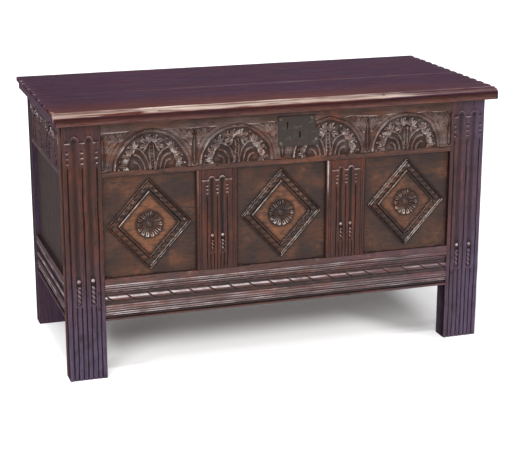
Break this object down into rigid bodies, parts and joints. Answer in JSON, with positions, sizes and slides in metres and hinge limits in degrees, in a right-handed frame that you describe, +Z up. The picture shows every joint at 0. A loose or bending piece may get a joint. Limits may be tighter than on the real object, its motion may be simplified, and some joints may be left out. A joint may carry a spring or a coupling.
{
  "type": "coffer chest",
  "caption": "Joined oak coffer with a hinged plank lid, fluted stiles, carved front rail and lozenge panels, an iron lock plate and a boarded floor.",
  "frame": {"origin": "on the floor, under the middle of the lid", "axes": "+X along the chest to the right as seen from the front, +Y to the back, +Z up"},
  "size_m": [1.238, 0.586, 0.731],
  "materials": {
    "frame_oak": "dark waxed oak, worn on the arrises",
    "panel_oak": "waxed oak, warmer in the panel fields",
    "lid_oak": "polished dark oak, worn along the front edge",
    "plain_oak": "dry unpolished oak",
    "peg_oak": "cleft oak, end grain showing",
    "wrought_iron": "dark hammered wrought iron"
  },
  "bodies": {
    "carcase": {"back_bottom_rail": "plain_oak", "back_left_muntin": "plain_oak", "back_left_panel": "plain_oak", "back_middle_panel": "plain_oak", "back_pegs": "peg_oak", "back_right_muntin": "plain_oak", "back_right_panel": "plain_oak", "back_top_rail": "plain_oak", "floor_board_1": "plain_oak", "floor_board_2": "plain_oak", "floor_board_3": "plain_oak", "floor_board_4": "plain_oak", "floor_board_5": "plain_oak", "floor_board_6": "plain_oak", "floor_nails": "wrought_iron", "front_bottom_rail": "frame_oak", "front_left_muntin": "frame_oak", "front_left_panel": "panel_oak", "front_left_stile": "frame_oak", "front_middle_panel": "panel_oak", "front_pegs": "peg_oak", "front_right_muntin": "frame_oak", "front_right_panel": "panel_oak", "front_right_stile": "frame_oak", "front_top_rail": "frame_oak", "hinge_leaf_nails": "wrought_iron", "left_bottom_rail": "frame_oak", "left_hinge_leaf": "wrought_iron", "left_hinge_pin": "wrought_iron", "left_panel": "panel_oak", "left_pegs": "peg_oak", "left_top_rail": "frame_oak", "lock_bolt_guides": "wrought_iron", "lock_nails": "wrought_iron", "lock_plate": "wrought_iron", "lock_spring": "wrought_iron", "rear_left_stile": "frame_oak", "rear_right_stile": "frame_oak", "right_bottom_rail": "frame_oak", "right_hinge_leaf": "wrought_iron", "right_hinge_pin": "wrought_iron", "right_panel": "panel_oak", "right_pegs": "peg_oak", "right_top_rail": "frame_oak"},
    "lid": {"lid_front_board": "lid_oak", "lid_rear_board": "lid_oak", "lid_dowels": "peg_oak", "lid_left_batten": "plain_oak", "lid_right_batten": "plain_oak", "batten_nails": "wrought_iron", "left_hinge_strap": "wrought_iron", "right_hinge_strap": "wrought_iron", "hinge_strap_nails": "wrought_iron"},
    "lock_bolt": {"lock_bolt": "wrought_iron"}
  },
  "joints": [
    {"name": "lid_hinge", "type": "hinge", "parent": "carcase", "child": "lid", "pos_m": [0, 0.2716, 0.6934], "axis": [-1, 0, 0], "range_deg": [0, 100]},
    {"name": "lock_bolt_slide", "type": "slide", "parent": "carcase", "child": "lock_bolt", "axis": [1, 0, 0], "range_m": [0, 0.012]}
  ]
}
